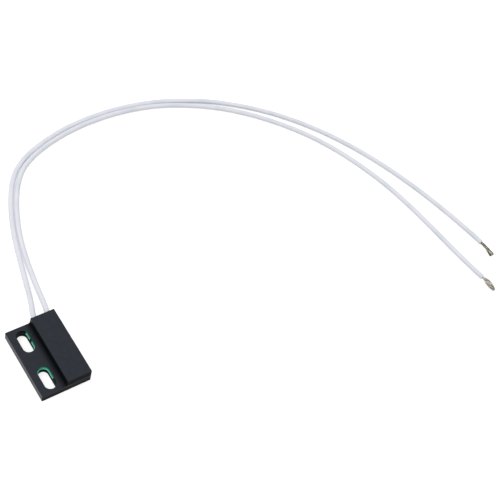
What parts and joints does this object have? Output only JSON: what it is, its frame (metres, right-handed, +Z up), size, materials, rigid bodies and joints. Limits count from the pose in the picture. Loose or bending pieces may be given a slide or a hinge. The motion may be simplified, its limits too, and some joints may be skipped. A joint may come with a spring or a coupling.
{
  "type": "flange mount reed switch sensor",
  "caption": "Slim moulded proximity switch for an oven door, with a slotted mounting flange, a reed contact potted in its raised block, and two long white leads with stripped ends.",
  "frame": {"origin": "middle of the housing's underside, at half its length and half its width over flange and block", "axes": "+X from the slotted flange towards the block, +Y along the housing towards the end where the leads come out, +Z up from the mounting face"},
  "size_m": [0.1971, 0.1476, 0.0063],
  "materials": {
    "housing": "moulded glass-filled polyester, matt, near black with a blue cast",
    "potting": "black epoxy, half gloss",
    "glass": "clear glass with a slight green tint",
    "reed_metal": "nickel-iron, tin plated",
    "contact_metal": "nickel-iron with plated contact ends",
    "solder": "bright solder",
    "insulation": "extruded white wire insulation, satin, with a faint cool tint",
    "tinned_copper": "tinned copper strands, dull silver with warm stains"
  },
  "bodies": {
    "sensor": {"housing": "housing", "potting": "potting", "reed_glass": "glass", "reed_lead_near": "reed_metal", "reed_lead_far": "reed_metal", "solder_near": "solder", "solder_far": "solder", "wire_a_jacket": "insulation", "wire_a_strands": "tinned_copper", "wire_b_jacket": "insulation", "wire_b_strands": "tinned_copper"},
    "upper_contact": {"reed_blade_near": "contact_metal"},
    "lower_contact": {"reed_blade_far": "contact_metal"}
  },
  "joints": [
    {"name": "upper_contact_flex", "type": "hinge", "parent": "sensor", "child": "upper_contact", "pos_m": [0.0048, 0.00289, 0.00327], "axis": [1, 0, 0], "range_deg": [0, 0.62], "stiffness_Nm_per_rad": 0.05},
    {"name": "lower_contact_flex", "type": "hinge", "parent": "sensor", "child": "lower_contact", "pos_m": [0.0048, -0.00629, 0.00293], "axis": [1, 0, 0], "range_deg": [0, 0.62], "stiffness_Nm_per_rad": 0.05}
  ]
}
